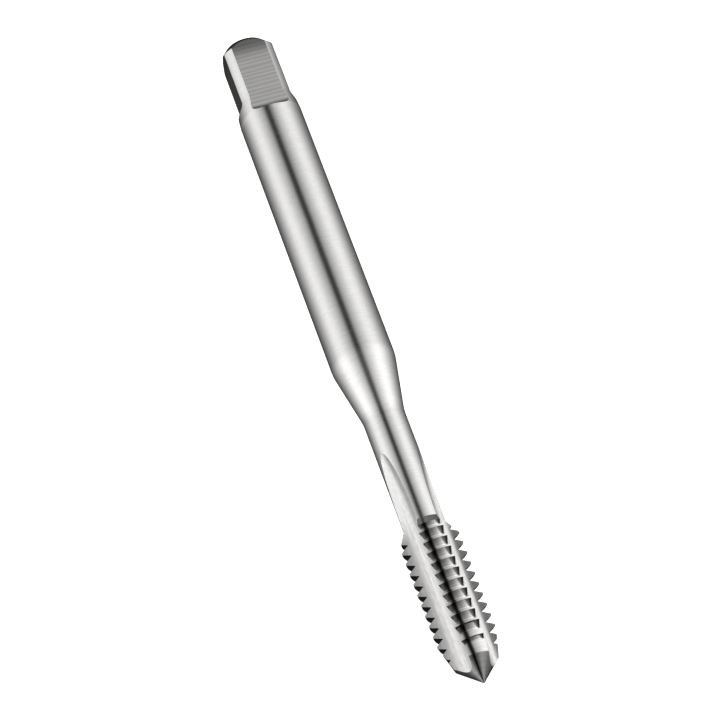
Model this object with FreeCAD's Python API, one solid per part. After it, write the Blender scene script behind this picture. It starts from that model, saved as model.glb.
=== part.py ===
"""Straight-fluted hand tap, ground from one piece of high-speed steel.

The tap lies on its side, as it comes to rest on a bench: its axis runs along X, with the square drive
end towards -X and the pointed cutting end towards +X, and its shank touches the plane Z = 0.
While it is shaped, the axis is the X axis itself, and x = 0 is the face of the square end.
Angles round the axis are counted from straight up, where one flat of the square faces, and grow
towards +Y.
"""
import FreeCAD, Part
import math
import os
from FreeCAD import Vector

# Whole tool
OVERALL_LENGTH = 52.2
SHANK_DIAMETER = 4.5
TAPER_LENGTH = 4.26
NECK_DIAMETER = 2.95
REACH_LENGTH = 20.58  # of the neck and the thread together
TAPER_BLEND_RADIUS = 4.0  # where the taper meets the shank and the neck

# Square drive end
SQUARE_ACROSS_FLATS = 3.55
SQUARE_CORNER_DIAMETER = 4.31
LONG_FLATS_LENGTH = 5.97  # of the upper and lower flats at full depth
SHORT_FLATS_LENGTH = 5.07  # of the flats at the sides, at full depth
SQUARE_TURNED_LENGTH = 5.07  # of the stretch turned down to the corner diameter
SQUARE_FLARE_LENGTH = 1.2  # from the corner diameter to the shank
SQUARE_RUNOUT_RADIUS = 0.5
END_FACE_DIAMETER = 3.06
END_CHAMFER_ANGLE = 40.0  # between the chamfer and the axis

# Thread
THREAD_DIAMETER = 4.15
THREAD_PITCH = 0.79375
THREAD_DEPTH = 0.54
THREAD_FLANK_ANGLE = 60.0
THREAD_CREST_FLAT = 0.12
THREAD_LENGTH = 11.91  # from the point to the foot of the shoulder behind the thread
FIRST_GROOVE = 0.795  # from the point to the groove over the middle of the uppermost land
THREAD_SHOULDER_ANGLE = 30.0
LEAD_CHAMFER_ANGLE = 14.6
NOSE_DIAMETER = 3.08  # where the lead chamfer meets the point
POINT_ANGLE = 90.0
POINT_FLAT_DIAMETER = 0.1

# Flutes
FLUTE_COUNT = 3
FLUTE_LENGTH = 17.5  # from the point to the end of the run-out
FLUTE_WEB_DIAMETER = 1.74
FLUTE_BOTTOM_RADIUS = 0.86
FLUTE_WHEEL_RADIUS = 25.0
RAKE_ANGLE = 6.3
LAND_ANGLE = 49.0
LAND_TURN = -2.0  # from the middle of the uppermost flat to the middle of the uppermost land

# How far a cutting tool reaches past the steel that it removes
CLEAR = 0.5

AXIS_POINT = Vector(0, 0, 0)
AXIS = Vector(1, 0, 0)
SHANK_RADIUS = SHANK_DIAMETER / 2
CUTTING_EDGE_TURN = LAND_TURN - LAND_ANGLE / 2


def tan_deg(angle):
    return math.tan(math.radians(angle))


def cos_deg(angle):
    return math.cos(math.radians(angle))


def sin_deg(angle):
    return math.sin(math.radians(angle))


def turned(shape, angle):
    """A copy of a shape, turned round the axis from straight up towards +Y."""
    copy = shape.copy()
    copy.rotate(AXIS_POINT, AXIS, -angle)
    return copy


def blend_arc(before, corner, after, radius):
    """The arc of that radius that rounds a corner, tangent to both of its sides."""
    to_before = (before - corner).normalize()
    to_after = (after - corner).normalize()
    half = to_before.getAngle(to_after) / 2
    reach = radius / math.tan(half)
    middle_way = (to_before + to_after).normalize()
    middle = corner + middle_way * (radius / math.sin(half) - radius)
    return Part.Arc(corner + to_before * reach, middle, corner + to_after * reach).toShape()


def outline(points, radii):
    """A closed face in the plane Y = 0, with the corners named in radii rounded by those radii."""
    edges = []
    last = None
    for i, point in enumerate(points):
        before, after = points[i - 1], points[(i + 1) % len(points)]
        arc = blend_arc(before, point, after, radii[i]) if i in radii else None
        start = arc.Vertexes[0].Point if arc else point
        if last is not None:
            edges.append(Part.makeLine(last, start))
        else:
            first = start
        if arc:
            edges.append(arc)
        last = arc.Vertexes[-1].Point if arc else point
    edges.append(Part.makeLine(last, first))
    return Part.Face(Part.Wire(Part.__sortEdges__(edges)))


def turned_blank():
    """The round blank: square end, shank, taper, neck, thread blank, lead chamfer and point."""
    end_radius = END_FACE_DIAMETER / 2
    corner_radius = SQUARE_CORNER_DIAMETER / 2
    chamfer_length = (corner_radius - end_radius) / tan_deg(END_CHAMFER_ANGLE)
    neck_radius = NECK_DIAMETER / 2
    thread_radius = THREAD_DIAMETER / 2
    nose_radius = NOSE_DIAMETER / 2
    point_radius = POINT_FLAT_DIAMETER / 2

    neck_start = OVERALL_LENGTH - REACH_LENGTH
    taper_start = neck_start - TAPER_LENGTH
    shoulder_start = OVERALL_LENGTH - THREAD_LENGTH
    shoulder_end = shoulder_start + (thread_radius - neck_radius) / tan_deg(THREAD_SHOULDER_ANGLE)
    point_start = OVERALL_LENGTH - (nose_radius - point_radius) / tan_deg(POINT_ANGLE / 2)
    lead_start = point_start - (thread_radius - nose_radius) / tan_deg(LEAD_CHAMFER_ANGLE)

    stations = [
        (0, 0),
        (0, end_radius),
        (chamfer_length, corner_radius),
        (SQUARE_TURNED_LENGTH, corner_radius),
        (SQUARE_TURNED_LENGTH + SQUARE_FLARE_LENGTH, SHANK_RADIUS),
        (taper_start, SHANK_RADIUS),
        (neck_start, neck_radius),
        (shoulder_start, neck_radius),
        (shoulder_end, thread_radius),
        (lead_start, thread_radius),
        (point_start, nose_radius),
        (OVERALL_LENGTH, point_radius),
        (OVERALL_LENGTH, 0),
    ]
    points = [Vector(x, 0, radius) for x, radius in stations]
    taper_ends = [stations.index((taper_start, SHANK_RADIUS)), stations.index((neck_start, neck_radius))]
    face = outline(points, {i: TAPER_BLEND_RADIUS for i in taper_ends})
    return face.revolve(AXIS_POINT, AXIS, 360)


def flat_cutter(length):
    """What the wheel takes off over the uppermost flat, with the wheel's rounded edge at the end."""
    flat = SQUARE_ACROSS_FLATS / 2
    radius = SQUARE_RUNOUT_RADIUS
    top = SHANK_RADIUS + radius + CLEAR
    wall = length + radius
    middle = Vector(length + radius * sin_deg(45), -top, flat + radius * (1 - cos_deg(45)))
    start = Vector(length, -top, flat)
    finish = Vector(wall, -top, flat + radius)
    wall_top = Vector(wall, -top, top)
    corner = Vector(-CLEAR, -top, top)
    foot = Vector(-CLEAR, -top, flat)
    edges = [
        Part.makeLine(foot, start),
        Part.Arc(start, middle, finish).toShape(),
        Part.makeLine(finish, wall_top),
        Part.makeLine(wall_top, corner),
        Part.makeLine(corner, foot),
    ]
    return Part.Face(Part.Wire(edges)).extrude(Vector(0, 2 * top, 0))


def flute_profile():
    """The flute's section at x = 0: cutting face, round bottom, heel, and a closed outside."""
    thread_radius = THREAD_DIAMETER / 2
    web_radius = FLUTE_WEB_DIAMETER / 2

    def on_circle(radius, angle):
        return Vector(0, radius * sin_deg(angle), radius * cos_deg(angle))

    edge = on_circle(thread_radius, CUTTING_EDGE_TURN)
    outward = on_circle(1, CUTTING_EDGE_TURN)
    into_flute = on_circle(1, CUTTING_EDGE_TURN - 90)
    face_in = outward * -cos_deg(RAKE_ANGLE) - into_flute * sin_deg(RAKE_ANGLE)
    face_normal = into_flute * cos_deg(RAKE_ANGLE) - outward * sin_deg(RAKE_ANGLE)

    # The bottom's circle touches the cutting face and the web.
    offset = edge + face_normal * FLUTE_BOTTOM_RADIUS
    along = offset.dot(face_in)
    inside = along**2 - offset.Length**2 + (web_radius + FLUTE_BOTTOM_RADIUS) ** 2
    centre = offset + face_in * (-along - math.sqrt(inside))
    touch_face = centre - face_normal * FLUTE_BOTTOM_RADIUS
    bottom = centre * (web_radius / centre.Length)

    # The heel runs from the land behind, tangent to the same circle.
    heel = on_circle(thread_radius, CUTTING_EDGE_TURN - 360 / FLUTE_COUNT + LAND_ANGLE)
    to_centre = centre - heel
    half = math.degrees(math.asin(FLUTE_BOTTOM_RADIUS / to_centre.Length))
    heel_in = FreeCAD.Rotation(AXIS, -half).multVec(to_centre).normalize()
    touch_heel = heel + heel_in * to_centre.dot(heel_in)

    reach = SHANK_RADIUS + CLEAR
    face_top = edge - face_in * reach
    heel_top = heel - heel_in * reach
    wire = Part.Wire(
        [
            Part.makeLine(face_top, touch_face),
            Part.Arc(touch_face, bottom, touch_heel).toShape(),
            Part.makeLine(touch_heel, heel_top),
            Part.makeLine(heel_top, face_top),
        ]
    )
    return Part.Face(wire), bottom


def flute_cutter():
    """What the flute wheel takes out: a straight cut to the point, and the wheel's round at the back."""
    profile, bottom = flute_profile()
    web_radius = FLUTE_WEB_DIAMETER / 2
    out = Vector(bottom).normalize()
    neck_rise = NECK_DIAMETER / 2 - web_radius
    runout = math.sqrt(FLUTE_WHEEL_RADIUS**2 - (FLUTE_WHEEL_RADIUS - neck_rise) ** 2)
    straight_start = OVERALL_LENGTH - FLUTE_LENGTH + runout
    profile.translate(Vector(straight_start, 0, 0))
    straight = profile.extrude(Vector(OVERALL_LENGTH + CLEAR - straight_start, 0, 0))
    wheel_centre = Vector(straight_start, 0, 0) + out * (web_radius + FLUTE_WHEEL_RADIUS)
    sweep = math.degrees(math.acos(1 - (SHANK_RADIUS + CLEAR - web_radius) / FLUTE_WHEEL_RADIUS))
    wheel_axis = AXIS.cross(out)
    round_end = profile.revolve(wheel_centre, wheel_axis, sweep)
    return straight, round_end


def tooth_space():
    """The vee groove over the uppermost land, on the thread's helix, from mid-flute to mid-flute."""
    half_flank = THREAD_FLANK_ANGLE / 2
    crest_radius = THREAD_DIAMETER / 2
    root_radius = crest_radius - THREAD_DEPTH
    root_half = (THREAD_PITCH - THREAD_CREST_FLAT) / 2 - THREAD_DEPTH * tan_deg(half_flank)
    # Past the crest the cutter ends before it meets the cutter of the next turn.
    top_half = (THREAD_PITCH - THREAD_CREST_FLAT / 2) / 2
    top_radius = root_radius + (top_half - root_half) / tan_deg(half_flank)
    helix = Part.makeHelix(THREAD_PITCH, THREAD_PITCH / FLUTE_COUNT, root_radius)
    corners = [
        Vector(root_radius, 0, -root_half),
        Vector(top_radius, 0, -top_half),
        Vector(top_radius, 0, top_half),
        Vector(root_radius, 0, root_half),
    ]
    section = Part.makePolygon(corners + corners[:1])
    groove = Part.Wire(helix.Edges).makePipeShell([section], True, True)

    # Laid along the axis, the groove starts from straight down and climbs towards the point.
    groove.rotate(Vector(0, 0, 0), Vector(0, 1, 0), 90)
    groove = turned(groove, LAND_TURN + 180 / FLUTE_COUNT - 180)
    groove.translate(Vector(OVERALL_LENGTH - FIRST_GROOVE - THREAD_PITCH / FLUTE_COUNT / 2, 0, 0))
    return groove


def tooth_spaces():
    """The groove over every land, turn after turn, so that all of them lie on one right-hand helix."""
    groove = tooth_space()
    spaces = []
    for i in range(FLUTE_COUNT):
        over_land = turned(groove, 360 / FLUTE_COUNT * i)
        for turn in range(math.ceil(THREAD_LENGTH / THREAD_PITCH) + 1):
            space = over_land.copy()
            space.translate(Vector(-THREAD_PITCH * (turn + i / FLUTE_COUNT), 0, 0))
            spaces.append(space)
    return spaces


def tap():
    body = turned_blank()
    upper = flat_cutter(LONG_FLATS_LENGTH)
    side = turned(flat_cutter(SHORT_FLATS_LENGTH), 90)
    body = body.cut([upper, turned(upper, 180), side, turned(side, 180)])
    for i in range(FLUTE_COUNT):
        for cutter in flute_cutter():
            body = body.cut(turned(cutter, 360 / FLUTE_COUNT * i))
    body = body.cut(tooth_spaces())
    body.translate(Vector(-OVERALL_LENGTH / 2, 0, SHANK_RADIUS))
    return body


os.makedirs("parts", exist_ok=True)
# A cut can leave burrs of a crest beside the tap, so the largest solid is the tap itself.
body = max(tap().Solids, key=lambda solid: solid.Volume)
body.exportStep("parts/tap_body.step")
print(len(body.Faces), "faces, valid", body.isValid(), "volume", round(body.Volume, 3))
print(body.optimalBoundingBox())
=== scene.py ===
import bpy
import numpy as np
from mathutils import Matrix, Vector


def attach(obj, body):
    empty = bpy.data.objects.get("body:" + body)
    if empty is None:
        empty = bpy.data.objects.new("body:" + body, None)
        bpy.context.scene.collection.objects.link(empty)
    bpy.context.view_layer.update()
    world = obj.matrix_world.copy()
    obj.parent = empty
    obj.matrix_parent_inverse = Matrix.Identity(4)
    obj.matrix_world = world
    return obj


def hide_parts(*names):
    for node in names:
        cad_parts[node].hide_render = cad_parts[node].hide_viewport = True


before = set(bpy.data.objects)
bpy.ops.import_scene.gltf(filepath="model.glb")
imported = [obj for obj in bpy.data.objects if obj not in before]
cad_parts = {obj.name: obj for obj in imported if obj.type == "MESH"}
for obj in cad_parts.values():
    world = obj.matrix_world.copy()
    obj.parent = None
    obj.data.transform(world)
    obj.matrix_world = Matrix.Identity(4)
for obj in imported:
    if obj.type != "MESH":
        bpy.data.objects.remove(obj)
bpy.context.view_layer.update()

# The tap is one bar of high-speed steel, turned to this outline and then ground: a square drive end, a
# round shank, a taper to the neck, and a thread that three straight flutes cut into lands. Its mesh is
# one closed tube, whose rings of points follow one another from the square end to the point.
MM = 0.001
TAP_LENGTH = 52.2
END_FACE_RADIUS = 1.53
END_CHAMFER_ANGLE = 40.0
SQUARE_CORNER_RADIUS = 2.155
SQUARE_TURNED_LENGTH = 5.07
SQUARE_FLARE_LENGTH = 1.2
SHANK_RADIUS = 2.25
TAPER_LENGTH = 4.26
TAPER_BLEND_RADIUS = 4.0
TAPER_ARC_ROWS = 9
REACH_LENGTH = 20.58
NECK_RADIUS = 1.475
THREAD_LENGTH = 11.91
THREAD_RADIUS = 2.075
THREAD_SHOULDER_ANGLE = 30.0
LEAD_CHAMFER_ANGLE = 14.6
NOSE_RADIUS = 1.54
POINT_HALF_ANGLE = 45.0
POINT_FLAT_RADIUS = 0.05


def tan_deg(angle):
    return np.tan(np.radians(angle))


def taper_arcs():
    """(x, radius) of the arcs that round the taper's two corners. A point of an arc lies blend
    radius * sin(turn) on from where the arc begins, and blend radius * (1 - cos(turn)) off its line."""
    neck_start = TAP_LENGTH - REACH_LENGTH
    taper_start = neck_start - TAPER_LENGTH
    slope = np.arctan2(SHANK_RADIUS - NECK_RADIUS, TAPER_LENGTH)
    turn = np.linspace(0, slope, TAPER_ARC_ROWS)
    along = TAPER_BLEND_RADIUS * np.sin(turn) - TAPER_BLEND_RADIUS * np.tan(slope / 2)
    drop = TAPER_BLEND_RADIUS * (1 - np.cos(turn))
    x = np.concatenate([taper_start + along, neck_start - along[::-1]])
    r = np.concatenate([SHANK_RADIUS - drop, NECK_RADIUS + drop[::-1]])
    return x, r


def blank_outline():
    """Stations (x, radius) of the turned blank, from its end face to the flat of its point."""
    chamfer = (SQUARE_CORNER_RADIUS - END_FACE_RADIUS) / tan_deg(END_CHAMFER_ANGLE)
    flare_end = SQUARE_TURNED_LENGTH + SQUARE_FLARE_LENGTH
    shoulder = TAP_LENGTH - THREAD_LENGTH
    shoulder_end = shoulder + (THREAD_RADIUS - NECK_RADIUS) / tan_deg(THREAD_SHOULDER_ANGLE)
    point = TAP_LENGTH - (NOSE_RADIUS - POINT_FLAT_RADIUS) / tan_deg(POINT_HALF_ANGLE)
    lead = point - (THREAD_RADIUS - NOSE_RADIUS) / tan_deg(LEAD_CHAMFER_ANGLE)
    arcs_x, arcs_r = taper_arcs()
    x = [0, chamfer, SQUARE_TURNED_LENGTH, flare_end, *arcs_x,
         shoulder, shoulder_end, lead, point, TAP_LENGTH]
    r = [END_FACE_RADIUS, SQUARE_CORNER_RADIUS, SQUARE_CORNER_RADIUS, SHANK_RADIUS, *arcs_r,
         NECK_RADIUS, THREAD_RADIUS, THREAD_RADIUS, NOSE_RADIUS, POINT_FLAT_RADIUS]
    return np.array(x), np.array(r)


OUTLINE_X, OUTLINE_R = blank_outline()
CHAMFER_X, _, FLARE_END_X = OUTLINE_X[1:4]
TAPER_X = OUTLINE_X[4:-5]
SHOULDER_X, _, LEAD_X, POINT_X = OUTLINE_X[-5:-1]


def blank_radius(x):
    return np.interp(x, OUTLINE_X, OUTLINE_R)


# The thread is ground into the blank along a helix, and three lands are left of it between the
# flutes. Turns are in degrees from straight up, growing towards +Y, and land 0 is the uppermost.
LANDS = 3
LAND_ANGLE = 49.0
LAND_TURN = -2.0
LAND_COLUMNS = 24
THREAD_PITCH = 0.79375
THREAD_DEPTH = 0.54
THREAD_HALF_FLANK = 30.0
THREAD_CREST_FLAT = 0.12
THREAD_ROOT_HALF = (THREAD_PITCH - THREAD_CREST_FLAT) / 2 - THREAD_DEPTH * tan_deg(THREAD_HALF_FLANK)
FIRST_GROOVE = 0.795
GROOVE_PAST_LEAD = 0.05
FLANK_ROWS = 5
LEAST_FLANK = 0.002
HALVINGS = 30
NECK_ROW_WAIT = 0.001
POINT_ROW_WAIT = 0.002


def thread_radius(x, groove):
    """Radius of the thread's own vee: the root flat, then a straight flank on each side, which rises
    by the distance past the root flat divided by the tangent of the half flank angle."""
    off = np.abs((x - groove + THREAD_PITCH / 2) % THREAD_PITCH - THREAD_PITCH / 2)
    rise = np.maximum(off - THREAD_ROOT_HALF, 0) / tan_deg(THREAD_HALF_FLANK)
    return THREAD_RADIUS - THREAD_DEPTH + rise


def flank_reach(groove, side):
    """How far from a groove's middle its flank meets the blank, found by halving the interval."""
    low = np.zeros_like(groove)
    high = np.full_like(groove, THREAD_PITCH / 2)
    for _ in range(HALVINGS):
        middle = (low + high) / 2
        x = groove + side * middle
        inside = thread_radius(x, groove) < blank_radius(x)
        low = np.where(inside, middle, low)
        high = np.where(inside, high, middle)
    return (low + high) / 2


def land_helix():
    """x of one groove at every land column: it lies a third of the pitch on from land to land, and
    moves back by the pitch times the share of a turn across a land."""
    turn = np.linspace(-LAND_ANGLE / 2, LAND_ANGLE / 2, LAND_COLUMNS + 1)
    land_start = THREAD_PITCH / LANDS * np.array([0, 1, -1])[:, None]
    return TAP_LENGTH - FIRST_GROOVE - land_start - THREAD_PITCH * turn / 360


def thread_rows(helix):
    """x of every thread row at every land column, shaped (rows, lands, columns).

    The rows of a groove are the flanks, in equal steps from the root's two corners to where they meet
    the blank. The middle of the crest follows each groove but the last, which lies no more than a
    little past the lead chamfer."""
    nearest = int(np.ceil((helix.max() - POINT_X - GROOVE_PAST_LEAD) / THREAD_PITCH))
    farthest = int(np.ceil((helix.max() - SHOULDER_X) / THREAD_PITCH))
    groove = helix - THREAD_PITCH * np.arange(farthest, nearest - 1, -1)[:, None, None]
    steps = np.linspace(0, 1, FLANK_ROWS + 1)[:, None, None]
    flanks = []
    for side in (-1, 1):
        reach = np.maximum(flank_reach(groove, side), THREAD_ROOT_HALF + LEAST_FLANK)
        out = THREAD_ROOT_HALF + (reach - THREAD_ROOT_HALF)[:, None] * steps
        flanks.append(groove[:, None] + side * out)
    rows = np.concatenate([flanks[0][:, ::-1], flanks[1]], 1)
    crest = (rows[:, -1:] + np.roll(rows[:, :1], -1, 0)) / 2
    return np.concatenate([rows, crest], 1).reshape(-1, *helix.shape)[:-1]


def stations(*stretches):
    """x of rows at even steps along stretches given as (from, to, rows), each x once."""
    rows = np.concatenate([np.linspace(*stretch) for stretch in stretches])
    return np.unique(np.round(rows, 6))


# The flutes are ground along the bar with one wheel. Its profile gives a straight cutting face with
# some rake, a round bottom and a straight heel, and its own round lifts the cut out of the neck.
FLUTE_LENGTH = 17.5
FLUTE_WHEEL_RADIUS = 25.0
FLUTE_BOTTOM_RADIUS = 0.86
WEB_RADIUS = 0.87
RAKE_ANGLE = 6.3
FLUTE_CURVE_POINTS = 200
FLUTE_LINE_OVERRUN = 1.2
FLUTE_COLUMNS = 40
NARROWEST_FLUTE = 6.0


def on_circle(radius, turn):
    """(sideways, up) of a point at that turn: radius times the turn's sine and cosine."""
    return np.stack([radius * np.sin(np.radians(turn)), radius * np.cos(np.radians(turn))], -1)


def near_angle(angle, middle):
    """The same direction as the angle, within half a turn of the middle."""
    return middle + (angle - middle + np.pi) % (2 * np.pi) - np.pi


def cutting_face():
    """The cutting edge of land 0, and the directions down its rake face and square off it."""
    edge_turn = LAND_TURN - LAND_ANGLE / 2
    outward = on_circle(1, edge_turn)
    into_flute = on_circle(1, edge_turn - 90)
    rake = np.radians(RAKE_ANGLE)
    face_in = -outward * np.cos(rake) - into_flute * np.sin(rake)
    face_normal = into_flute * np.cos(rake) - outward * np.sin(rake)
    return on_circle(THREAD_RADIUS, edge_turn), face_in, face_normal


def bottom_centre(edge, face_in, face_normal):
    """Centre of the round bottom, a bottom radius off the rake face and off the web's circle."""
    offset = edge + face_normal * FLUTE_BOTTOM_RADIUS
    along = offset @ face_in
    inside = along**2 - offset @ offset + (WEB_RADIUS + FLUTE_BOTTOM_RADIUS) ** 2
    return offset + face_in * (-along - np.sqrt(inside))


def heel_line(centre):
    """The heel of the land before, and where the straight line down from it touches the round bottom.
    The line runs past the bottom's centre, turned off it by arcsin(bottom radius / distance)."""
    heel = on_circle(THREAD_RADIUS, LAND_TURN + LAND_ANGLE / 2 - 360 / LANDS)
    to_centre = centre - heel
    far = np.linalg.norm(to_centre)
    half = np.arcsin(FLUTE_BOTTOM_RADIUS / far)
    c, s = np.cos(half), np.sin(half)
    heel_in = np.array([[c, s], [-s, c]]) @ to_centre / far
    return heel, heel + heel_in * (to_centre @ heel_in)


def flute_curve():
    """The flute's section from a land's heel to the next land's cutting edge, as (across, out)
    distances from the axis along the flute's own middle line. The turn of that line comes with it,
    and the place of every point: below 0 on the heel, 0 to 1 round the bottom, above 1 on the face."""
    edge, face_in, face_normal = cutting_face()
    centre = bottom_centre(edge, face_in, face_normal)
    touch_face = centre - face_normal * FLUTE_BOTTOM_RADIUS
    heel, touch_heel = heel_line(centre)
    middle_turn = np.degrees(np.arctan2(*centre))
    inward = np.radians(middle_turn + 180)
    ends = [near_angle(np.arctan2(*(touch - centre)), inward) for touch in (touch_heel, touch_face)]
    arc = np.linspace(*ends, FLUTE_CURVE_POINTS)[1:-1]
    bottom = centre + FLUTE_BOTTOM_RADIUS * np.stack([np.sin(arc), np.cos(arc)], -1)
    reach = np.linspace(FLUTE_LINE_OVERRUN, 0, FLUTE_CURVE_POINTS)[:, None]
    heel_side = touch_heel + (heel - touch_heel) * reach
    face_side = touch_face + (edge - touch_face) * reach[::-1]
    curve = np.concatenate([heel_side, bottom, face_side])
    place = np.concatenate([
        -np.linalg.norm(heel_side - touch_heel, axis=1),
        np.linspace(0, 1, len(bottom)),
        1 + np.linalg.norm(face_side - touch_face, axis=1),
    ])
    across = curve @ on_circle(1, middle_turn + 90)
    out = curve @ on_circle(1, middle_turn)
    return across, out, middle_turn, place


FLUTE_ACROSS, FLUTE_OUT, FLUTE_TURN, FLUTE_PLACE = flute_curve()


def flute_row(behind, heel_radius, edge_radius):
    """(radius, turn, place) of a row of points down a heel, round the bottom and up a cutting face.

    Behind the straight stretch the wheel lifts the curve: out = wheel height - the root of
    (wheel height - out)^2 - behind^2. The curve is trimmed where it leaves the steel, and where there
    is no flute, its narrowest width stays as a strip of columns on the blank."""
    wheel_height = WEB_RADIUS + FLUTE_WHEEL_RADIUS
    out = wheel_height - np.sqrt(np.maximum((wheel_height - FLUTE_OUT) ** 2 - behind**2, 0))
    radius = np.hypot(FLUTE_ACROSS, out)
    turn = np.degrees(np.arctan2(FLUTE_ACROSS, out))
    low = np.argmin(radius)
    length = np.concatenate([[0], np.cumsum(np.hypot(np.diff(FLUTE_ACROSS), np.diff(out)))])
    start = np.interp(-heel_radius, -radius[: low + 1], length[: low + 1])
    end = np.interp(edge_radius, radius[low:], length[low:])
    first, last = np.interp([start, end], length, turn)
    steps = np.linspace(0, 1, FLUTE_COLUMNS + 1)
    if radius[low] < min(heel_radius, edge_radius) and last - first > NARROWEST_FLUTE:
        at = start + (end - start) * steps
        return [np.interp(at, length, values) for values in (radius, turn, FLUTE_PLACE)]
    strip = (first + last) / 2 + max(last - first, NARROWEST_FLUTE) * (steps - 0.5)
    blank = heel_radius + (edge_radius - heel_radius) * steps
    return [np.minimum(np.interp(strip, turn, radius), blank), strip, np.interp(strip, turn, FLUTE_PLACE)]


def flute_points(x, heel_radius, edge_radius):
    """Radius, turn and place of the flutes' points, for every row and every land's flute."""
    neck_rise = NECK_RADIUS - WEB_RADIUS
    runout = np.sqrt(FLUTE_WHEEL_RADIUS**2 - (FLUTE_WHEEL_RADIUS - neck_rise) ** 2)
    behind = np.maximum(TAP_LENGTH - FLUTE_LENGTH + runout - x, 0)
    rows = [flute_row(*row) for row in zip(behind.ravel(), heel_radius.ravel(), edge_radius.ravel())]
    radius, turn, place = np.moveaxis(np.reshape(rows, (*x.shape, 3, -1)), 2, 0)
    return radius, turn + FLUTE_TURN, place


def neck_rows():
    """x of the rows from the taper to the shoulder, closest where the flutes rise out of the neck."""
    flutes_end = TAP_LENGTH - FLUTE_LENGTH
    straights = stations(
        (TAPER_X[TAPER_ARC_ROWS - 1], TAPER_X[TAPER_ARC_ROWS], 7),
        (TAPER_X[-1] + 0.4, flutes_end - 0.4, 6),
        (flutes_end - 0.2, flutes_end + 1.5, 24),
        (flutes_end + 1.6, SHOULDER_X - 0.15, 26),
    )
    return np.unique(np.concatenate([np.round(TAPER_X, 6), straights]))


def point_rows():
    """x of the rows of the point, closest where the flutes run out of it."""
    return stations(
        (POINT_X, TAP_LENGTH - 1.0, 10),
        (TAP_LENGTH - 1.0, TAP_LENGTH - 0.6, 14),
        (TAP_LENGTH - 0.6, TAP_LENGTH, 8),
    )


def land_points():
    """x and radius of the lands' points, shaped (rows, lands, columns), from the taper to the point.

    Thread rows that would lie on the neck wait at the shoulder's foot, and rows of the point that
    would lie behind the thread's last row wait in front of it, each a hair past the one before."""
    helix = land_helix()
    thread_x = thread_rows(helix)
    point_x = point_rows()[:, None, None]
    neck_x = np.append(neck_rows(), SHOULDER_X)[:, None, None] * np.ones(helix.shape)
    foot = SHOULDER_X + NECK_ROW_WAIT * np.arange(1, len(thread_x) + 1)[:, None, None]
    front = thread_x[-1] + POINT_ROW_WAIT * np.arange(1, len(point_x) + 1)[:, None, None]
    x = np.concatenate([neck_x, np.maximum(thread_x, foot), np.maximum(point_x, front)])
    blank = blank_radius(x)
    return x, np.where(x > SHOULDER_X, np.minimum(blank, thread_radius(x, helix)), blank)


def fluted_tube():
    """x, radius, turn and flute place of the rings from the taper to the point. A ring goes across
    each land and then through the flute after it, up to the cutting edge of the next land."""
    x, r = land_points()
    heel_x, heel_r = x[:, :, -1], r[:, :, -1]
    edge_x, edge_r = np.roll(x[:, :, 0], -1, 1), np.roll(r[:, :, 0], -1, 1)
    flute_x = heel_x[..., None] + (edge_x - heel_x)[..., None] * np.linspace(0, 1, FLUTE_COLUMNS + 1)
    flute_r, flute_t, flute_place = flute_points((heel_x + edge_x) / 2, heel_r, edge_r)
    flute_t = flute_t + 360 / LANDS * np.arange(1, LANDS + 1)[:, None]
    edge_t = np.roll(flute_t[..., -1:], 1, 1)
    edge_t[:, 0] -= 360
    land_t = edge_t + (flute_t[..., :1] - edge_t) * np.linspace(0, 1, LAND_COLUMNS + 1)
    land_place = np.roll(flute_place[..., -1:], 1, 1) * np.ones(LAND_COLUMNS + 1)
    pairs = ((x, flute_x), (r, flute_r), (land_t, flute_t), (land_place, flute_place))
    rings = [np.concatenate([land[..., :-1], flute[..., :-1]], -1) for land, flute in pairs]
    return [ring.reshape(len(x), -1) for ring in rings]


fluted_x, fluted_r, fluted_t, fluted_place = fluted_tube()

# The square drives the tap. Its four flats are ground across the blank by a wheel whose rounded edge
# shows at their ends, two of them a little longer than the other two.
SQUARE_HALF = 1.775
SQUARE_RUNOUT_RADIUS = 0.5
LONG_FLATS_LENGTH = 5.97
SHORT_FLATS_LENGTH = SQUARE_TURNED_LENGTH
RUNOUT_ROWS = 16
FLAT_COLUMNS = 32
CORNER_COLUMNS = 16
NARROWEST_HALF_FLAT = 1.2
SHANK_ROWS_END = TAPER_X[0] - 0.2


def flat_height(x, length):
    """Distance of a flat from the axis: past its full-depth length it rises along the wheel's rounded
    edge by radius - root of (radius^2 - distance past^2)."""
    past = np.clip(x - length, 0, SQUARE_RUNOUT_RADIUS)
    return SQUARE_HALF + SQUARE_RUNOUT_RADIUS - np.sqrt(SQUARE_RUNOUT_RADIUS**2 - past**2)


def square_rows():
    """x of the rows from the end face to the taper, closest along the flats' rounded run-outs."""
    runout = SQUARE_RUNOUT_RADIUS * np.sin(np.linspace(0, np.pi / 2, RUNOUT_ROWS))
    runouts = np.round([SHORT_FLATS_LENGTH + runout, LONG_FLATS_LENGTH + runout], 6)
    plain = stations(
        (0, CHAMFER_X, 15),
        (CHAMFER_X, SHORT_FLATS_LENGTH, 7),
        (FLARE_END_X, SHANK_ROWS_END, 46),
    )
    return np.unique(np.concatenate([plain, *runouts]))


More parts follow.
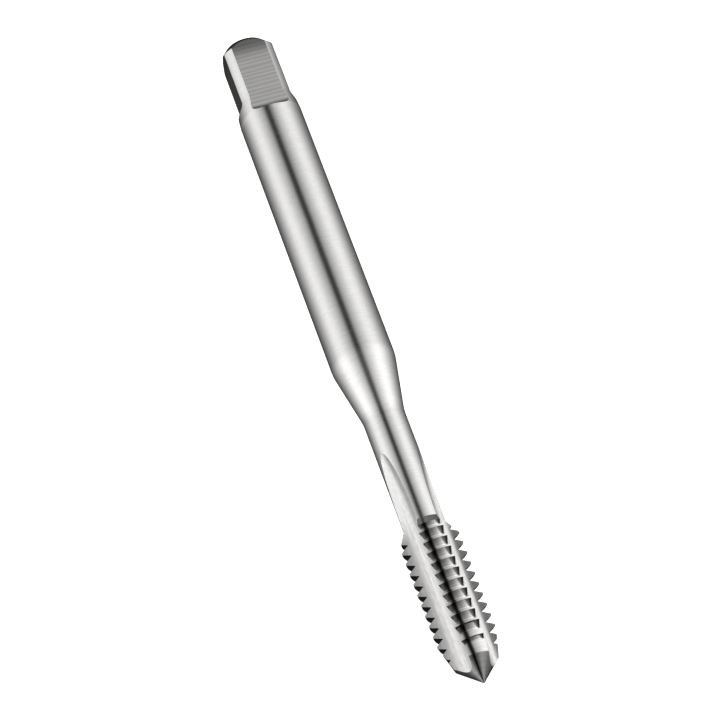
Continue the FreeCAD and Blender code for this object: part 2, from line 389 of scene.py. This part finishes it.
def square_sides(x):
    """Radius and turn of the points round the rings: across a flat, round the corner after it, and so
    on. A point of a flat lies at the flat's height / cos(turn from its middle), but never outside
    the blank."""
    blank = blank_radius(x)
    across = np.linspace(-1, 1, FLAT_COLUMNS + 1)[:-1]
    corner = np.linspace(0, 1, CORNER_COLUMNS + 1)[:-1]
    heights = [flat_height(x, length) for length in (LONG_FLATS_LENGTH, SHORT_FLATS_LENGTH)]
    halves = [np.degrees(np.arccos(np.minimum(height / blank, 1))) for height in heights]
    halves = [np.maximum(half, NARROWEST_HALF_FLAT) for half in halves]
    turns, radii = [], []
    for quarter in range(4):
        height, half, next_half = heights[quarter % 2], halves[quarter % 2], halves[1 - quarter % 2]
        flat_t = np.degrees(np.arctan(tan_deg(half)[:, None] * across))
        corner_t = half[:, None] + (90 - half - next_half)[:, None] * corner
        turns += [flat_t + 90 * quarter, corner_t + 90 * quarter]
        radii.append(np.minimum(blank[:, None], height[:, None] / np.cos(np.radians(flat_t))))
        radii.append(np.repeat(blank[:, None], CORNER_COLUMNS, 1))
    return np.concatenate(radii, 1), np.concatenate(turns, 1)


def square_tube(far_t):
    """x, radius and turn of the rings from the end face to the taper. Along the shank the columns
    first spread out evenly, and then move to their places on the taper."""
    x = square_rows()
    r, t = square_sides(x)
    columns = len(far_t)
    even_t = t[-1, 0] + 360 / columns * np.arange(columns)
    pace = np.clip((x - FLARE_END_X) / (SHANK_ROWS_END - FLARE_END_X), 0, 1)[:, None]
    t = t + (even_t - t) * np.clip(pace * 2, 0, 1)
    t = t + (far_t - t) * np.clip(pace * 2 - 1, 0, 1)
    return np.repeat(x[:, None], columns, 1), r, t


square_x, square_r, square_t = square_tube(fluted_t[0])
tap_x = np.concatenate([square_x, fluted_x])
tap_r = np.concatenate([square_r, fluted_r])
tap_t = np.concatenate([square_t, fluted_t])


def tube_mesh(name, x, r, turn):
    """A closed mesh from rings of points, with a single point in the middle of each end. A point lies
    radius * sin(turn) sideways and radius * cos(turn) up from the axis."""
    rows, columns = x.shape
    t = np.radians(turn)
    rings = np.stack([x, r * np.sin(t), r * np.cos(t)], -1).reshape(-1, 3)
    ends = [[x[0, 0], 0, 0], [x[-1, 0], 0, 0]]
    points = (np.concatenate([rings, ends]) - [TAP_LENGTH / 2, 0, -SHANK_RADIUS]) * MM
    ring = np.arange(rows - 1)[:, None] * columns
    here = np.arange(columns)
    after = (here + 1) % columns
    quads = np.stack([ring + here, ring + columns + here, ring + columns + after, ring + after], -1)
    near = np.stack([np.full(columns, rows * columns), here, after], -1)
    last = (rows - 1) * columns
    far = np.stack([np.full(columns, rows * columns + 1), last + after, last + here], -1)
    mesh = bpy.data.meshes.new(name)
    mesh.from_pydata(points.tolist(), [], quads.reshape(-1, 4).tolist() + near.tolist() + far.tolist())
    mesh.polygons.foreach_set("use_smooth", np.ones(len(mesh.polygons), dtype=bool))
    mesh.update()
    return mesh


SHARP_ANGLE = 12.0
tap_mesh = tube_mesh("tap", tap_x, tap_r, tap_t)
tap_mesh.set_sharp_from_angle(angle=np.radians(SHARP_ANGLE))
tap = bpy.data.objects.new("tap", tap_mesh)
bpy.context.collection.objects.link(tap)

# Every grinding leaves its own finish: fine lines round the shank, coarser ones across the square's
# flats, long ones down the flutes, and bright grooves and crests on the thread.
ROUND, FLAT, FLUTE, GROOVE, CREST = range(5)
CUT_DEPTH = 0.003
LINE_DRIFT = 0.1


def face_steels(x, r):
    """The steel of every face between two rings, by where it lies and whether it was cut below the
    turned blank. A face is cut where one of its corners lies the cut depth or more below it."""
    cut = blank_radius(x) - r > CUT_DEPTH
    cut = cut[:-1] | cut[1:]
    cut = cut | np.roll(cut, -1, 1)
    in_flute = np.arange(x.shape[1]) % (LAND_COLUMNS + FLUTE_COLUMNS) >= LAND_COLUMNS
    ground = np.where(x[:-1] < SHANK_ROWS_END, FLAT, np.where(in_flute, FLUTE, GROOVE))
    turned = np.where(x[:-1] > SHOULDER_X, CREST, ROUND)
    return np.where(cut, ground, turned)


def node(tree, kind, **values):
    """A new node of a shader tree, with its inputs set by name."""
    made = tree.nodes.new(kind)
    for name, value in values.items():
        made.inputs[name.replace("_", " ")].default_value = value
    return made


def object_place(tree):
    return tree.nodes.new("ShaderNodeTexCoord").outputs["Object"]


def stretched_place(tree, stretch):
    """The place on the tap, multiplied by the stretch along each direction."""
    scaled = node(tree, "ShaderNodeVectorMath")
    scaled.operation = "MULTIPLY"
    scaled.inputs[1].default_value = stretch
    tree.links.new(object_place(tree), scaled.inputs[0])
    return scaled.outputs[0]


def ramp(tree, value, stops):
    """A factor that follows a value in straight lines between its stops (value, factor)."""
    first, last = stops[0][0], stops[-1][0]
    share = node(tree, "ShaderNodeMapRange", From_Min=first, From_Max=last)
    tree.links.new(value, share.inputs["Value"])
    made = tree.nodes.new("ShaderNodeValToRGB")
    elements = made.color_ramp.elements
    while len(elements) < len(stops):
        elements.new(0.5)
    for element, (at, factor) in zip(elements, stops):
        element.position = (at - first) / (last - first)
        element.color = (factor, factor, factor, 1)
    tree.links.new(share.outputs["Result"], made.inputs["Fac"])
    return made.outputs["Color"]


def ground_steel(name, colour, roughness, stretch, mark_depth, mark_tone):
    """Bright ground steel. Noise drawn out along the marks that the wheel left raises the surface by
    up to the mark depth, and makes the colour lighter or darker by up to the mark tone."""
    steel = bpy.data.materials.new(name)
    steel.use_nodes = True
    tree = steel.node_tree
    shader = tree.nodes["Principled BSDF"]
    shader.inputs["Metallic"].default_value = 1
    shader.inputs["Roughness"].default_value = roughness
    marks = node(tree, "ShaderNodeTexNoise", Scale=1 / MM, Detail=3.0, Roughness=0.6)
    tree.links.new(stretched_place(tree, stretch), marks.inputs["Vector"])
    bump = node(tree, "ShaderNodeBump", Strength=1.0, Distance=mark_depth * MM)
    tree.links.new(marks.outputs["Fac"], bump.inputs["Height"])
    tree.links.new(bump.outputs["Normal"], shader.inputs["Normal"])
    tone = node(tree, "ShaderNodeMapRange", From_Min=0.3, From_Max=0.7)
    tone.inputs["To Min"].default_value = 1 - mark_tone
    tone.inputs["To Max"].default_value = 1 + mark_tone
    tree.links.new(marks.outputs["Fac"], tone.inputs["Value"])
    tint = node(tree, "ShaderNodeVectorMath")
    tint.operation = "SCALE"
    tint.inputs[0].default_value = colour
    tree.links.new(tone.outputs["Result"], tint.inputs["Scale"])
    tree.links.new(tint.outputs[0], shader.inputs["Base Color"])
    return steel


def shade(steel, factor):
    """Multiplies a steel's colour by the factor."""
    tree = steel.node_tree
    colour = tree.nodes["Principled BSDF"].inputs["Base Color"]
    product = tree.nodes.new("ShaderNodeVectorMath")
    product.operation = "MULTIPLY"
    tree.links.new(colour.links[0].from_socket, product.inputs[0])
    tree.links.new(factor, product.inputs[1])
    tree.links.new(product.outputs[0], colour)


def shade_along(steel, direction, stops):
    """Multiplies a steel's colour by a factor that follows the place along X, Y or Z, in mm."""
    tree = steel.node_tree
    parts = tree.nodes.new("ShaderNodeSeparateXYZ")
    tree.links.new(object_place(tree), parts.inputs[0])
    shade(steel, ramp(tree, parts.outputs[direction], [(at * MM, factor) for at, factor in stops]))


def shade_by_attribute(steel, name):
    """Multiplies a steel's colour by an attribute of the mesh."""
    factor = steel.node_tree.nodes.new("ShaderNodeAttribute")
    factor.attribute_name = name
    shade(steel, factor.outputs["Fac"])


def shade_across(steel, spacing, depth):
    """Lines across a flat, left by the wheel's feed, about the spacing apart and a little uneven."""
    tree = steel.node_tree
    spacing_at_scale_1 = np.pi / 10
    lines = node(tree, "ShaderNodeTexWave", Scale=spacing_at_scale_1 / spacing, Distortion=4.0)
    lines.inputs["Detail"].default_value = 3.0
    lines.inputs["Detail Scale"].default_value = 1.5
    stretch = (1 / MM, LINE_DRIFT / MM, LINE_DRIFT / MM)
    tree.links.new(stretched_place(tree, stretch), lines.inputs["Vector"])
    shade(steel, ramp(tree, lines.outputs["Fac"], [(0, 1 - depth), (0.5, 1), (1, 1 + depth)]))


round_steel = ground_steel(
    "round_steel", (0.66, 0.655, 0.645), roughness=0.2,
    stretch=(12, 1.5, 1.5), mark_depth=0.0004, mark_tone=0.05,
)
flat_steel = ground_steel(
    "flat_steel", (0.56, 0.555, 0.545), roughness=0.2,
    stretch=(6, 0.3, 0.3), mark_depth=0.002, mark_tone=0.06,
)
flute_steel = ground_steel(
    "flute_steel", (0.84, 0.835, 0.825), roughness=0.4,
    stretch=(2, 14, 14), mark_depth=0.0006, mark_tone=0.16,
)
groove_steel = ground_steel(
    "groove_steel", (0.61, 0.605, 0.595), roughness=0.05,
    stretch=(1, 1, 1), mark_depth=0, mark_tone=0.02,
)
crest_steel = ground_steel(
    "crest_steel", (0.64, 0.635, 0.625), roughness=0.05,
    stretch=(8, 0.8, 0.8), mark_depth=0, mark_tone=0.12,
)

# Painted shade: the flats darken towards the end of the square and at their run-outs, and the short flat
# that faces -Y is darker than the others.
END_X = -TAP_LENGTH / 2
END_STOPS = [(0, 0.30), (0.5, 0.33), (0.73, 0.36), (1.2, 0.52), (1.66, 0.87), (2.2, 0.97), (2.8, 1.0),
             (LONG_FLATS_LENGTH, 1.0), (LONG_FLATS_LENGTH + 0.23, 0.45), (LONG_FLATS_LENGTH + 0.63, 0.45)]
SHADED_FLAT_FACTOR = 0.65
shade_across(flat_steel, spacing=0.33, depth=0.10)
shade_along(flat_steel, "X", [(END_X + x, factor) for x, factor in END_STOPS])
shade_along(flat_steel, "Y", [(-SQUARE_HALF - 0.005, SHADED_FLAT_FACTOR), (-SQUARE_HALF + 0.035, 1.0)])

# Painted shade: the crests of the lead chamfer are a little darker than those of the full thread.
LEAD_BLEND = 0.2
POINT_BLEND = 0.02
LEAD_STOPS = [(LEAD_X - LEAD_BLEND, 1.0), (LEAD_X + LEAD_BLEND, 0.86),
              (POINT_X - POINT_BLEND, 0.84), (POINT_X + POINT_BLEND, 1.0)]
# The flutes, grooves and point take painted shade and painted highlights from factors stored on the mesh.
shade_by_attribute(flute_steel, "painted_flute_light")
shade_by_attribute(groove_steel, "painted_groove_light")
shade_by_attribute(crest_steel, "painted_point_light")
shade_along(crest_steel, "X", [(END_X + x, factor) for x, factor in LEAD_STOPS])

# The factors below are painted shade and painted highlights on the flutes, the grooves and the point.
# Factors on the steel's colour, set so that each flute, groove and side of the point comes near its tone in
# the photograph, which looks at the side VIEW_TURN off straight up, towards -Y.
VIEW_TURN = 11.5
NECK_SHADES_START = 0.8
NECK_SHADES_BLEND = 1.6


def flute_painted_light(x, place, flute):
    """Factors by place in the flute, painted shade and painted highlights: darker up the heel and on the
    cutting face along the thread, and on the neck darker towards both edges of the uppermost land and
    lighter up the heels of the other flutes. Flute 0 is the one after that land."""
    on_thread = np.interp(
        place,
        [-0.9, -0.47, -0.31, -0.15, 0.08, 0.16, 0.26, 0.5, 0.73, 0.84, 0.92, 1.0, 1.15, 1.6],
        [0.43, 0.61, 0.79, 1.0, 0.91, 0.75, 0.79, 0.95, 0.84, 0.71, 0.32, 0.36, 0.33, 0.47],
    )
    before_land = np.interp(
        place,
        [-0.35, -0.1, 0.04, 0.1, 0.15, 0.25, 0.37, 0.62],
        [1.15, 1.25, 1.03, 0.88, 0.78, 0.71, 0.58, 0.58],
    )
    after_land = np.interp(
        place,
        [0.45, 0.52, 0.62, 0.7, 0.8, 1.0],
        [0.4, 0.42, 0.62, 0.73, 0.84, 0.9],
    )
    on_neck = np.where(flute == 0, after_land, before_land)
    behind = np.clip((SHOULDER_X + NECK_SHADES_START - x) / NECK_SHADES_BLEND, 0, 1)
    return on_thread + (on_neck - on_thread) * behind


def groove_painted_light(side, depth):
    """Painted shade and painted highlights: factors by depth below the blank, different left and right of
    the axis, times factors by the distance sideways from the axis."""
    depths = [0, 0.25, 0.42, THREAD_DEPTH]
    down_left = np.interp(depth, depths, [0.60, 0.74, 0.95, 1.02])
    down_right = np.interp(depth, depths, [0.64, 0.74, 0.85, 0.82])
    rightness = np.interp(side, [-0.1, 0.2], [0, 1])
    across = np.interp(
        side,
        [-1.5, -1.0, -0.8, -0.65, -0.5, -0.38, -0.25, 0.0, 0.18, 0.32, 0.56, 0.64, 0.8],
        [0.04, 0.8, 0.95, 0.8, 0.45, 0.6, 1.2, 1.0, 1.2, 1.3, 1.65, 0.32, 0.45],
    )
    return (down_left + (down_right - down_left) * rightness) * across


def point_painted_light(x, turn):
    """Painted reflection, factors by the turn from the viewed side: darker along its middle and at its
    outlines.
    """
    off = (turn + VIEW_TURN + 180) % 360 - 180
    round_point = np.interp(
        off,
        [-90, -65, -52, -40, -30, -17, -8, 0, 8, 17, 29, 40, 52, 90],
        [0.25, 0.3, 0.5, 0.7, 0.95, 1.05, 0.72, 0.38, 0.72, 1.02, 0.76, 0.5, 0.46, 0.35],
    )
    return 1 + (round_point - 1) * np.clip((x - POINT_X) / POINT_BLEND, 0, 1)


def add_shades(mesh, name, values):
    """Stores the factors of the fluted part's points, with 1 on the square, the shank and the ends."""
    attribute = mesh.attributes.new(name, "FLOAT", "POINT")
    attribute.data.foreach_set("value", np.concatenate([np.ones(square_x.size), values.ravel(), np.ones(2)]))


fluted_side = fluted_r * np.sin(np.radians(fluted_t))
flute_number = np.arange(fluted_x.shape[1]) // (LAND_COLUMNS + FLUTE_COLUMNS)
add_shades(tap_mesh, "painted_flute_light", flute_painted_light(fluted_x, fluted_place, flute_number))
add_shades(tap_mesh, "painted_groove_light", groove_painted_light(fluted_side, blank_radius(fluted_x) - fluted_r))
add_shades(tap_mesh, "painted_point_light", point_painted_light(fluted_x, fluted_t))

for steel in (round_steel, flat_steel, flute_steel, groove_steel, crest_steel):
    tap_mesh.materials.append(steel)
steels = face_steels(tap_x, tap_r).ravel()
end_faces = np.full(len(tap_mesh.polygons) - len(steels), ROUND)
tap_mesh.polygons.foreach_set("material_index", np.concatenate([steels, end_faces]))

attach(tap, "root")
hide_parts("tap_body")

# The floor is a plain pale sheet, white to the camera. Mirror rays pass through it to the world's
# dark lower half, so that the steel's edges stay dark as in the photograph.
FLOOR_HALF = 1.5
floor_corners = [(-FLOOR_HALF, -FLOOR_HALF, 0), (FLOOR_HALF, -FLOOR_HALF, 0),
                 (FLOOR_HALF, FLOOR_HALF, 0), (-FLOOR_HALF, FLOOR_HALF, 0)]
floor_mesh = bpy.data.meshes.new("floor")
floor_mesh.from_pydata(floor_corners, [], [(0, 1, 2, 3)])
floor = bpy.data.objects.new("floor", floor_mesh)
bpy.context.collection.objects.link(floor)
paper = bpy.data.materials.new("pale_paper")
paper.use_nodes = True
nodes, links = paper.node_tree.nodes, paper.node_tree.links
sheet = nodes["Principled BSDF"]
sheet.inputs["Base Color"].default_value = (0.85, 0.85, 0.85, 1)
sheet.inputs["Roughness"].default_value = 0.9
sheet.inputs["Specular IOR Level"].default_value = 0
sheet.inputs["Emission Color"].default_value = (1, 1, 1, 1)
path = nodes.new("ShaderNodeLightPath")
clear = nodes.new("ShaderNodeBsdfTransparent")
either = nodes.new("ShaderNodeMixShader")
links.new(path.outputs["Is Camera Ray"], sheet.inputs["Emission Strength"])
links.new(path.outputs["Is Glossy Ray"], either.inputs["Fac"])
links.new(sheet.outputs["BSDF"], either.inputs[1])
links.new(clear.outputs["BSDF"], either.inputs[2])
links.new(either.outputs["Shader"], nodes["Material Output"].inputs["Surface"])
floor_mesh.materials.append(paper)

# The camera looks down at the tap from VIEW_TURN round its axis, tilted towards the point by
# TIP_TILT, and is rolled so that the point lies down and to the right.
TIP_TILT = 28.75
IMAGE_TURN = 20.70
SENSOR_WIDTH = 36.0
FRAME_PIXELS = 720.0
FOCAL_PIXELS = 3420.0
MM_PER_PIXEL = 0.0677
AXIS_PIXEL_RIGHT = 2.05
AIM_X = 0.845
tilt, turn, roll = np.radians([TIP_TILT, VIEW_TURN, IMAGE_TURN])
axis = Vector((1, 0, 0))
back = Vector((np.sin(tilt), -np.cos(tilt) * np.sin(turn), np.cos(tilt) * np.cos(turn)))
down = (axis - axis.dot(back) * back).normalized()
side = (-down).cross(back)
right = side * np.cos(roll) + down * np.sin(roll)
up = side * np.sin(roll) - down * np.cos(roll)
aim = Vector((AIM_X, 0, SHANK_RADIUS)) - right * AXIS_PIXEL_RIGHT * MM_PER_PIXEL
camera_data = bpy.data.cameras.new("camera")
camera_data.lens = FOCAL_PIXELS / FRAME_PIXELS * SENSOR_WIDTH
camera_data.sensor_width = SENSOR_WIDTH
camera_data.clip_start = 0.01
camera = bpy.data.objects.new("camera", camera_data)
bpy.context.collection.objects.link(camera)
camera.matrix_world = Matrix((right, up, back)).transposed().to_4x4()
camera.location = (aim + back * MM_PER_PIXEL * FOCAL_PIXELS) * MM
bpy.context.scene.camera = camera

# World: two broad soft boxes, left and right of the camera and along the whole tap, with the dark
# camera between them and dark ends beyond. The light of a direction depends on its turn round the
# tap's axis, in degrees from the dark band's middle, and on its lean along the axis. A low glow
# lights the band on the taper. The guard keeps the root of a lean of 1 above 0.
SOFTBOX_LIGHT = 2.0
BAND_TURN = 0.9
ROOT_GUARD = 1.0001
TURN_STOPS = [(0, 0.008), (5, 0.014), (8.5, 0.09), (14, 0.335), (21, 0.47), (28, 0.58), (36, 0.70),
              (43, 0.82), (51, 0.93), (62, 1.0), (76, 0.91), (85, 0.76), (95, 0.59), (106, 0.43),
              (118, 0.28), (134, 0.145), (158, 0.040), (180, 0.020)]
LEAN_STOPS = [(-1.0, 0.10), (-0.9, 0.30), (-0.7, 0.58), (-0.57, 0.62), (-0.48, 0.66), (-0.41, 0.73),
              (-0.15, 0.78), (0.0, 0.88), (0.3, 0.85), (0.6, 0.5), (0.86, 0.23), (1.0, 0.06)]
GLOW_STOPS = [(-1.0, 0.0), (-0.42, 0.0), (-0.28, 0.045), (-0.06, 0.045), (0.0, 0.0), (1.0, 0.0)]
world = bpy.data.worlds.new("studio")
bpy.context.scene.world = world
world.use_nodes = True
sky = world.node_tree


def calculated(operation, *values):
    """The result of a math node on sockets and plain numbers."""
    made = sky.nodes.new("ShaderNodeMath")
    made.operation = operation
    for socket, value in zip(made.inputs, values):
        if isinstance(value, bpy.types.NodeSocket):
            sky.links.new(value, socket)
        else:
            socket.default_value = value
    return made.outputs[0]


def along(direction, vector):
    """How far a direction goes along a vector."""
    made = sky.nodes.new("ShaderNodeVectorMath")
    made.operation = "DOT_PRODUCT"
    sky.links.new(direction, made.inputs[0])
    made.inputs[1].default_value = vector
    return made.outputs["Value"]


direction = sky.nodes.new("ShaderNodeTexCoord").outputs["Generated"]
square_to_axis = (back - back.dot(axis) * axis).normalized()
to_band = Matrix.Rotation(np.radians(BAND_TURN), 3, -axis) @ square_to_axis
lean = along(direction, axis)
across = calculated("SQRT", calculated("SUBTRACT", ROOT_GUARD, calculated("MULTIPLY", lean, lean)))
turn_from_band = calculated("ARCCOSINE", calculated("DIVIDE", along(direction, to_band), across))
turn_light = ramp(sky, turn_from_band, [(np.radians(degrees), light) for degrees, light in TURN_STOPS])
box_light = calculated("MULTIPLY", turn_light, ramp(sky, lean, LEAN_STOPS))
light = calculated("ADD", calculated("MULTIPLY", box_light, SOFTBOX_LIGHT), ramp(sky, lean, GLOW_STOPS))
sky.nodes["Background"].inputs["Color"].default_value = (1, 1, 1, 1)
sky.links.new(light, sky.nodes["Background"].inputs["Strength"])
bpy.context.scene.view_settings.view_transform = "Standard"
